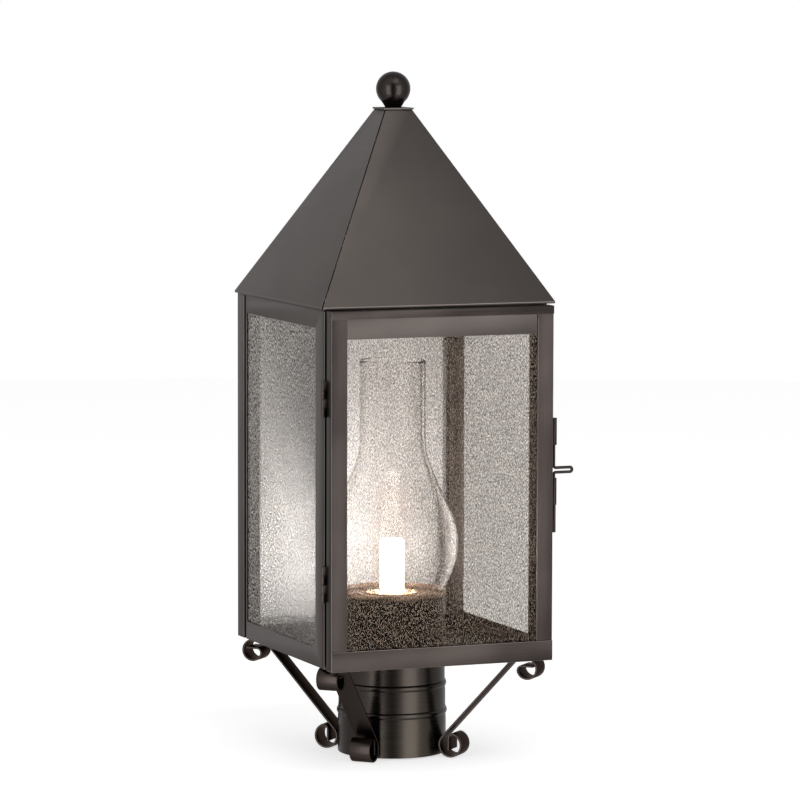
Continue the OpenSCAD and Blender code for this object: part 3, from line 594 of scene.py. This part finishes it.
# Lamp: a spun cup on the floor carries a disc with an upturned rim, on which the chimney stands.
# The porcelain socket stands in the cup on a threaded nipple, which a nut draws to the floor.
CUP_EDGE, RIM_EDGE, GLAZE_EDGE = 0.3 * MM, 0.25 * MM, 0.4 * MM
# The gallery's brass is painted lighter and warmer, as painted light from the lamp close above it.
lamp_lit_painted_brass = darkened_brass("darkened_brass_painted_lamp_light", ("#6d5b4c", "#836b58"), "", 0.34)
# The cup takes the floor's painted shade.
eased("pedestal_cup", CUP_EDGE, painted_shade_brass)
eased("gallery", RIM_EDGE, lamp_lit_painted_brass)
eased("locknut", NUT_EDGE, zinc)
eased("nipple", ROD_EDGE, zinc)


def glazed_porcelain(name):
    """
    Electrical porcelain, slip cast and glazed brown. The eye gets a warm brown under a hard,
    clear gloss.
    """
    cloud_size = 6 * MM
    material, tree, out = new_material(name)
    place = add(tree, "ShaderNodeTexCoord").outputs["Object"]
    body = add(tree, "ShaderNodeTexNoise", {"Vector": place, "Scale": 1 / cloud_size, "Detail": 2.0})
    tone = add(tree, "ShaderNodeValToRGB", {"Fac": body.outputs["Fac"]})
    tone.color_ramp.elements[0].color = linear("#6e5138")
    tone.color_ramp.elements[1].color = linear("#876748")
    glaze = add(
        tree, "ShaderNodeBsdfPrincipled",
        {"Base Color": tone.outputs["Color"], "Roughness": 0.18, "IOR": 1.5},
    )
    tree.links.new(glaze.outputs[0], out.inputs["Surface"])
    return material


eased("lamp_socket", GLAZE_EDGE, glazed_porcelain("brown_glazed_porcelain"))


# Bulb: a clear glass tube closed to a dome, on a rolled aluminium screw cap, with a bright
# column of phosphor-coated light strips inside it.
cap_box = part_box("bulb_base")
cap_low, cap_high, cap_r = cap_box[0].z, cap_box[1].z, cap_box[1].x
THREAD, THREAD_DEPTH, THREAD_LENGTH, THREAD_START = 3.6 * MM, 0.9 * MM, 24 * MM, 4 * MM
WAVE_STEPS = 6
cap_outline = [
    (0, cap_low), (cap_r / 3, cap_low),
    (cap_r / 2, cap_low + 2 * MM), (cap_r - 2 * MM, cap_low + 3 * MM),
]
for i in range(int(THREAD_LENGTH / THREAD) * WAVE_STEPS):
    wave = (1 - math.cos(2 * math.pi * i / WAVE_STEPS)) / 2
    cap_outline.append((cap_r - THREAD_DEPTH * wave, cap_low + THREAD_START + i * THREAD / WAVE_STEPS))
cap_outline += [(cap_r, cap_high), (0, cap_high)]


def rolled_aluminium(name):
    """
    Thin aluminium, rolled into a screw thread. The eye gets a pale, satin metal with fine rings.
    """
    ring_pitch, ring_length = 0.5 * MM, 50 * MM
    material, tree, out = new_material(name)
    place = add(tree, "ShaderNodeTexCoord").outputs["Object"]
    rings = add(
        tree, "ShaderNodeMapping",
        {"Vector": place, "Scale": (1 / ring_length, 1 / ring_length, 1 / ring_pitch)},
    )
    scuff = add(tree, "ShaderNodeTexNoise", {"Vector": rings.outputs[0], "Scale": 1.0, "Detail": 2.0})
    rough = add(
        tree, "ShaderNodeMapRange", {"Value": scuff.outputs["Fac"], "To Min": 0.25, "To Max": 0.45}
    )
    metal = add(
        tree, "ShaderNodeBsdfPrincipled",
        {"Base Color": linear("#dcdad5"), "Metallic": 1.0, "Roughness": rough.outputs[0]},
    )
    tree.links.new(metal.outputs[0], out.inputs["Surface"])
    return material


cap = turned("bulb_cap", cap_outline, 64)
fit(cap, "lantern", "bulb_cap", rolled_aluminium("rolled_aluminium"), "bulb_base")


bulb_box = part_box("bulb_glass")
bulb_low, bulb_high, bulb_r, BULB_WALL = bulb_box[0].z, bulb_box[1].z, bulb_box[1].x, 0.8 * MM
PRESS_W, PRESS_H, TAPER = 1.5 * MM, 2 * MM, 1 * MM


def dome(r, centre):
    """Quarter-round from the wall to the axis."""
    steps = 16
    turns = (math.pi / 2 * i / steps for i in range(steps + 1))
    return [(r * math.cos(a), centre + r * math.sin(a)) for a in turns]


bulb_outline = (
    [(0, bulb_low), (bulb_r - PRESS_W, bulb_low), (bulb_r, bulb_low + PRESS_H)]
    + dome(bulb_r, bulb_high - bulb_r)
    + list(reversed(dome(bulb_r - BULB_WALL, bulb_high - bulb_r)))
    + [(bulb_r - 2 * BULB_WALL - TAPER, bulb_low + BULB_WALL), (0, bulb_low + BULB_WALL)]
)


def lamp_glass(name):
    """
    Thin clear glass, drawn into a tube, with a faint warm coating. The eye gets light edges where
    it curves away. Only the outer face is given a gloss, because the lamp's own image in the inner
    face would burn out.
    """
    speckle_size, coating_share = 3 * MM, 0.0003
    material, tree, out = new_material(name)
    place = add(tree, "ShaderNodeTexCoord").outputs["Object"]
    speckle = add(
        tree, "ShaderNodeTexNoise", {"Vector": place, "Scale": 1 / speckle_size, "Detail": 2.0}
    )
    tint = add(tree, "ShaderNodeValToRGB", {"Fac": speckle.outputs["Fac"]})
    tint.color_ramp.elements[0].color = linear("#fefdfc")
    tint.color_ramp.elements[1].color = linear("#fffefe")
    passing = add(tree, "ShaderNodeBsdfTransparent", {"Color": tint.outputs["Color"]})
    coating = add(tree, "ShaderNodeBsdfTranslucent", {"Color": linear("#ffd9ae")})
    coated = add(
        tree, "ShaderNodeMixShader", {0: coating_share, 1: passing.outputs[0], 2: coating.outputs[0]}
    )
    surface = add(tree, "ShaderNodeNewGeometry")
    outwards = add(
        tree, "ShaderNodeVectorMath", {0: surface.outputs["Normal"], 1: place}, operation="DOT_PRODUCT"
    )
    outer = add(
        tree, "ShaderNodeMath", {0: outwards.outputs["Value"], 1: 0.0}, operation="GREATER_THAN"
    )
    bare = add(
        tree, "ShaderNodeMix",
        {"Factor": surface.outputs["Backfacing"], "A": outer.outputs[0], "B": 0.0},
    )
    mirrored = add(tree, "ShaderNodeFresnel", {"IOR": 1.5})
    weight = add(
        tree, "ShaderNodeMath", {0: bare.outputs[0], 1: mirrored.outputs[0]}, operation="MULTIPLY"
    )
    gloss = add(tree, "ShaderNodeBsdfAnisotropic", {"Color": linear("#ffffff"), "Roughness": 0.03})
    shown = add(
        tree, "ShaderNodeMixShader", {0: weight.outputs[0], 1: coated.outputs[0], 2: gloss.outputs[0]}
    )
    tree.links.new(shown.outputs[0], out.inputs["Surface"])
    return material


bulb = turned("bulb", bulb_outline, 64)
fit(bulb, "lantern", "bulb_glass", lamp_glass("drawn_bulb_glass"), "bulb_glass")

light_low, light_high = (corner.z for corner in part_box("bulb_filaments"))
LIGHT_R, LIGHT_EDGE = 9.3 * MM, 1.5 * MM
light_outline = [
    (0, light_low), (LIGHT_R - LIGHT_EDGE, light_low), (LIGHT_R, light_low + LIGHT_EDGE),
    (LIGHT_R, light_high - LIGHT_EDGE), (LIGHT_R - LIGHT_EDGE, light_high), (0, light_high),
]
# Phosphor-coated light strips under clear resin. The eye gets a burnt-out white column. It lights
# the lantern at its full strength, but its image in glass and through the chimney is held down to
# a plain white, without a spray of bright points round it.
LAMP_LIGHT, LAMP_IN_GLASS = 200.0, 3.0
material, tree, out = new_material("phosphor_light_column")
path = add(tree, "ShaderNodeLightPath")
in_glass = add(
    tree, "ShaderNodeMath",
    {0: path.outputs["Is Glossy Ray"], 1: path.outputs["Is Transmission Ray"]}, operation="MAXIMUM",
)
strength = add(
    tree, "ShaderNodeMix", {"Factor": in_glass.outputs[0], "A": LAMP_LIGHT, "B": LAMP_IN_GLASS}
)
shine = add(
    tree, "ShaderNodeBsdfPrincipled",
    {"Base Color": linear("#ffe2b0"), "Emission Color": linear("#fcf9f8"),
     "Emission Strength": strength.outputs[0]},
)
tree.links.new(shine.outputs[0], out.inputs["Surface"])
material.cycles.emission_sampling = "FRONT"
light = turned("light_column", light_outline, 48)
fit(light, "lantern", "filament", material, "bulb_filaments")


# Chimney: hand-blown clear glass, swelling from its foot to a belly and drawn in to a straight
# neck, with both rims melted round in the flame.
def blown_glass(name):
    """
    Clear soda glass, blown. The eye gets bright and dark edges where the wall curves away and
    slight ripples along it, and light from inside comes through it unhindered.
    """
    ripple_length, ripple_depth = 25 * MM, 1 * MM
    material, tree, out = new_material(name)
    place = add(tree, "ShaderNodeTexCoord").outputs["Object"]
    ripple = add(
        tree, "ShaderNodeTexNoise", {"Vector": place, "Scale": 1 / ripple_length, "Detail": 1.0}
    )
    bump = add(
        tree, "ShaderNodeBump",
        {"Height": ripple.outputs["Fac"], "Strength": 0.3, "Distance": ripple_depth},
    )
    glass = add(
        tree, "ShaderNodeBsdfPrincipled",
        {"Base Color": linear("#f9f8f7"), "Roughness": 0.0, "IOR": 1.45, "Transmission Weight": 1.0,
         "Normal": bump.outputs[0]},
    )
    passing = add(tree, "ShaderNodeBsdfTransparent", {"Color": linear("#f4f4f4")})
    path = add(tree, "ShaderNodeLightPath")
    lamp_ray = add(
        tree, "ShaderNodeMath",
        {0: path.outputs["Is Shadow Ray"], 1: path.outputs["Is Diffuse Ray"]}, operation="MAXIMUM",
    )
    shown = add(
        tree, "ShaderNodeMixShader",
        {0: lamp_ray.outputs[0], 1: glass.outputs[0], 2: passing.outputs[0]},
    )
    tree.links.new(shown.outputs[0], out.inputs["Surface"])
    return material


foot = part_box("chimney")[0].z
FOOT_R, BELLY_R, NECK_R, WALL = 37.5 * MM, 49.2 * MM, 24.6 * MM, 1.8 * MM
BELLY_Z, NECK_Z, CHIMNEY_H, RINGS, LIP_STEPS = 37 * MM, 116 * MM, 174 * MM, 60, 6


def chimney_r(z):
    """The outside radius at a height over the foot."""
    if z < BELLY_Z:
        return FOOT_R + (BELLY_R - FOOT_R) * math.sin(math.pi / 2 * z / BELLY_Z)
    if z < NECK_Z:
        swing = math.cos(math.pi * (z - BELLY_Z) / (NECK_Z - BELLY_Z))
        return BELLY_R + (NECK_R - BELLY_R) * (1 - swing) / 2
    return NECK_R


def lip(r, z, way):
    """The melted round of a rim, from the outer wall to the inner one."""
    turns = (math.pi * i / LIP_STEPS for i in range(LIP_STEPS + 1))
    return [(r - WALL / 2 + WALL / 2 * math.cos(a), z + way * WALL / 2 * math.sin(a)) for a in turns]


levels = [WALL / 2 + (CHIMNEY_H - WALL) * i / RINGS for i in range(RINGS + 1)]
chimney_outline = (
    [(chimney_r(z), foot + z) for z in levels[:-1]]
    + lip(NECK_R, foot + levels[-1], 1)
    + [(chimney_r(z) - WALL, foot + z) for z in reversed(levels[1:-1])]
    + list(reversed(lip(chimney_r(levels[0]), foot + levels[0], -1)))[:-1]
)
chimney = turned("chimney_glass", chimney_outline, 128)
fit(chimney, "lantern", "clear_glass", blown_glass("blown_chimney_glass"), "chimney")


# Panes: four sheets of seeded glass, drawn so that their bubbles stretch upwards. Each lies behind
# its window and is held by small angle clips folded over its edges.
def seeded_glass(name, rippled):
    """
    Clear drawn glass full of fine seeds, smooth on its outer face and rippled on its inner one.
    The eye gets a fine, upright sparkle in front of what lies behind, pale specks over what is
    dark, a veil where a pane is seen at a low angle, and a wide soft glow where the ripples
    mirror the lamp. Seeds are 0.65 mm across and drawn out to 1.7 mm, with a few long streaks.
    """
    seed_w, seed_h, streak_w, streak_h = 0.65 * MM, 1.7 * MM, 0.9 * MM, 14 * MM
    streak_share, low_angle_power = 0.08, 5.0
    # Rippled face: glow seen square on and the facing at which it ends, share of it from seeds,
    # haze at a low angle on the near and the far side. Smooth face: range of the specks, veil of
    # the room in them seen square on, and how much it grows at a low angle.
    glow, glow_end, seed_share, near_haze, far_haze = 0.5, 0.4, 0.36, 0.9, 5.0
    speck_start, speck_full, veil, veil_growth = 0.47, 0.63, 0.17, 5.5
    material, tree, out = new_material(name)
    place = add(tree, "ShaderNodeTexCoord").outputs["Object"]
    fine = add(
        tree, "ShaderNodeMapping", {"Vector": place, "Scale": (1 / seed_w, 1 / seed_w, 1 / seed_h)}
    )
    seeds = add(tree, "ShaderNodeTexNoise", {"Vector": fine.outputs[0], "Scale": 1.0, "Detail": 1.0})
    drawn = add(
        tree, "ShaderNodeMapping",
        {"Vector": place, "Scale": (1 / streak_w, 1 / streak_w, 1 / streak_h)},
    )
    streaks = add(tree, "ShaderNodeTexNoise", {"Vector": drawn.outputs[0], "Scale": 1.0, "Detail": 0.0})
    mixed = add(
        tree, "ShaderNodeMix",
        {"Factor": streak_share, "A": seeds.outputs["Fac"], "B": streaks.outputs["Fac"]},
    )
    clear = add(tree, "ShaderNodeValToRGB", {"Fac": mixed.outputs[0]})
    clear.color_ramp.elements[0].position, clear.color_ramp.elements[1].position = 0.38, 0.6
    clear.color_ramp.elements[0].color = linear("#c4c1bd")
    clear.color_ramp.elements[1].color = linear("#ffffff")
    surface = add(tree, "ShaderNodeBsdfTransparent", {"Color": clear.outputs["Color"]})
    facing = add(tree, "ShaderNodeLayerWeight", {"Blend": 0.5}).outputs["Facing"]
    steep = add(tree, "ShaderNodeMath", {0: facing, 1: low_angle_power}, operation="POWER")
    behind = add(tree, "ShaderNodeNewGeometry").outputs["Backfacing"]
    if rippled:
        # Seen square on, the ripples mirror and spread the lamp's light. Seen at a low angle they
        # turn to a milky haze, thicker on the side that is seen through the pane.
        square_on = add(
            tree, "ShaderNodeMapRange",
            {"Value": facing, "From Max": glow_end, "To Min": glow, "To Max": 0.0},
        )
        seen = add(
            tree, "ShaderNodeMix", {"Factor": behind, "A": square_on.outputs["Result"], "B": 0.0}
        )
        ripple = add(tree, "ShaderNodeBsdfAnisotropic", {"Color": linear("#ffffff"), "Roughness": 0.82})
        seeded = add(tree, "ShaderNodeBsdfDiffuse", {"Color": clear.outputs["Color"]})
        scatter = add(
            tree, "ShaderNodeMixShader", {0: seed_share, 1: ripple.outputs[0], 2: seeded.outputs[0]}
        )
        surface = add(
            tree, "ShaderNodeMixShader",
            {0: seen.outputs[0], 1: surface.outputs[0], 2: scatter.outputs[0]},
        )
        frost = add(tree, "ShaderNodeValToRGB", {"Fac": seeds.outputs["Fac"]})
        frost.color_ramp.elements[0].position, frost.color_ramp.elements[1].position = 0.4, 0.62
        frost.color_ramp.elements[0].color = linear("#434343")
        frost.color_ramp.elements[1].color = linear("#a3a3a3")
        haze = add(tree, "ShaderNodeBsdfTranslucent", {"Color": frost.outputs["Color"]})
        depth = add(tree, "ShaderNodeMix", {"Factor": behind, "A": near_haze, "B": far_haze})
        slant = add(
            tree, "ShaderNodeMath", {0: steep.outputs[0], 1: depth.outputs[0]}, operation="MULTIPLY"
        )
        shown = add(
            tree, "ShaderNodeMixShader",
            {0: slant.outputs[0], 1: surface.outputs[0], 2: haze.outputs[0]},
        )
    else:
        # Each seed mirrors the room as a pale speck, and the specks close up at a low angle.
        specks = add(
            tree, "ShaderNodeMapRange",
            {"Value": seeds.outputs["Fac"], "From Min": speck_start, "From Max": speck_full},
        )
        thickness = add(
            tree, "ShaderNodeMath", {0: steep.outputs[0], 1: veil_growth, 2: veil},
            operation="MULTIPLY_ADD",
        )
        pale = add(
            tree, "ShaderNodeMath", {0: specks.outputs["Result"], 1: thickness.outputs[0]},
            operation="MULTIPLY",
        )
        seen = add(tree, "ShaderNodeMix", {"Factor": behind, "A": pale.outputs[0], "B": 0.0})
        # Seen square on, the specks are tinted tan, as painted warm light from the lamp-lit floor
        # behind.
        tint = add(tree, "ShaderNodeValToRGB", {"Fac": facing})
        tint.color_ramp.elements[0].position, tint.color_ramp.elements[1].position = 0.2, 0.5
        tint.color_ramp.elements[0].color = linear("#f4dcc6")
        tint.color_ramp.elements[1].color = linear("#f4eee8")
        glint = add(
            tree, "ShaderNodeBsdfAnisotropic", {"Color": tint.outputs["Color"], "Roughness": 0.5}
        )
        shown = add(
            tree, "ShaderNodeMixShader",
            {0: seen.outputs[0], 1: surface.outputs[0], 2: glint.outputs[0]},
        )
    tree.links.new(shown.outputs[0], out.inputs["Surface"])
    return material


GLASS_EDGE, CLIP_EDGE, FACES_IN = 0.2 * MM, 0.15 * MM, 0.7
smooth_face = seeded_glass("seeded_drawn_glass_smooth_face", False)
rippled_face = seeded_glass("seeded_drawn_glass_rippled_face", True)
for node in ("pane_left", "pane_right", "pane_rear", "door_pane"):
    pane = eased(node, GLASS_EDGE, smooth_face)
    pane.data.materials.append(rippled_face)
    low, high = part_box(node)
    inward = -((low + high) / 2 * Vector((1, 1, 0))).normalized()
    for face in pane.data.polygons:
        face.material_index = int(face.normal.dot(inward) > FACES_IN)
eased("pane_clips", CLIP_EDGE, spun_brass)
eased("door_clips", CLIP_EDGE, spun_brass)


# Door: a folded brass stile at each side, a flush top rail, and two bands laid over the stiles at
# the top and the bottom, soldered along their edges. The top band's edge is rolled, so that only
# its sharp corners are eased.
BAND_EDGE, ROLL_EDGE, ROLLED = 0.3 * MM, 0.15 * MM, 50
for side in ("left", "right"):
    eased("door_stile_" + side, FOLD, upright_brass, rubbed=True)
# The top rail's brass is a copy painted lighter than the stiles and bands, as painted light.
rail_painted_light_brass = darkened_brass("darkened_brass_top_rail_painted_light", ("#4c4643", "#534d4a"), "X", 0.36)
eased("door_top_rail", BAND_EDGE, rail_painted_light_brass, rubbed=True)
eased("door_bottom_band", BAND_EDGE, level_brass, rubbed=True)
eased("door_top_band", ROLL_EDGE, level_brass, sharp=ROLLED, rubbed=True)


# Hinges: two brass leaves each, rolled round a plain pin and soldered into the joint between body
# and door. The pins, which no hand rubs, stay the darkest.
LEAF_EDGE = 0.2 * MM
dark_brass = darkened_brass("darkened_brass_in_the_joints", ("#332e2b", "#3f3936"), "", 0.34)
hinge_brass = darkened_brass("darkened_brass_hinge", ("#4a4441", "#57504d"), "Z", 0.34)
for height in ("upper", "lower"):
    for leaf in ("hinge_fixed_", "hinge_door_"):
        eased(leaf + height, LEAF_EDGE, hinge_brass)
    eased("hinge_pin_" + height, ROD_EDGE, dark_brass)


# Slide bolt: brass wire bent into a finger loop, which drops through two short tubes soldered to
# the door into a third on the body.
TUBE_EDGE = 0.2 * MM
eased("bolt_guides", TUBE_EDGE, dark_brass)
eased("bolt_keeper", TUBE_EDGE, dark_brass)
eased("slide_bolt", ROD_EDGE, dark_brass)


# Roof: a flat ring closes the body's top. Four mitred brass sheets stand on it, each with an
# upright hem at the eaves, and a small cap plate closes their top. All are soldered.
SEAM_EDGE = 0.25 * MM
eased("roof_ring", FOLD, level_brass)
# The roof sheets and cap take copies of the brass painted lighter, the side sheets most, as painted
# light from above and from the sides.
roof_across_painted_light = darkened_brass("darkened_brass_roof_across_painted_light", ("#514c49", "#56504d"), "X", 0.4)
roof_sides_painted_light = darkened_brass("darkened_brass_roof_sides_painted_light", ("#66605d", "#6e6865"), "Y", 0.4)
for node in ("roof_front", "roof_rear"):
    eased(node, SEAM_EDGE, roof_across_painted_light, rubbed=True)
for node in ("roof_left", "roof_right"):
    eased(node, SEAM_EDGE, roof_sides_painted_light, rubbed=True)
eased("roof_cap", BAND_EDGE, roof_across_painted_light, rubbed=True)


# Finial: a brass ball, spun in two halves and buffed smoother than the sheets, on a short neck.
# A stud runs from it through the cap plate to a nut underneath. The neck and the bottom of the
# ball are painted near black, as painted shade where the ball meets the cap plate.
eased("finial_nut", NUT_EDGE, zinc)
eased("finial_stud", ROD_EDGE, zinc)
ball_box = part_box("finial_ball")
BALL_R, NECK_FOOT_R, NECK_TOP_R, BALL_STEPS, FOOT_SHADE_TOP = 12.7 * MM, 5.8 * MM, 8.5 * MM, 64, 0.78
ball_centre = ball_box[1].z - BALL_R
foot_turn = math.asin(NECK_TOP_R / BALL_R)
ball_outline = [(0, ball_box[0].z), (NECK_FOOT_R, ball_box[0].z)]
ball_outline += [
    (BALL_R * math.sin(a), ball_centre - BALL_R * math.cos(a))
    for a in (foot_turn + (math.pi - foot_turn) * i / BALL_STEPS for i in range(BALL_STEPS + 1))
]
ball = turned("ball", ball_outline, 96)
buffed = darkened_brass("darkened_brass_buffed", ("#38322f", "#3c3634"), "", 0.22)
fit(ball, "lantern", "ball_bronze", buffed, "finial_ball")
# The neck and the bottom of the ball take it, as painted shade over the cap plate.
foot_painted_shade_brass = darkened_brass("darkened_brass_foot_painted_shade", ("#191513", "#211d1a"), "", 0.5)
ball.data.materials.append(foot_painted_shade_brass)
for face in ball.data.polygons:
    face.material_index = int(face.center.z < ball_centre - FOOT_SHADE_TOP * BALL_R)
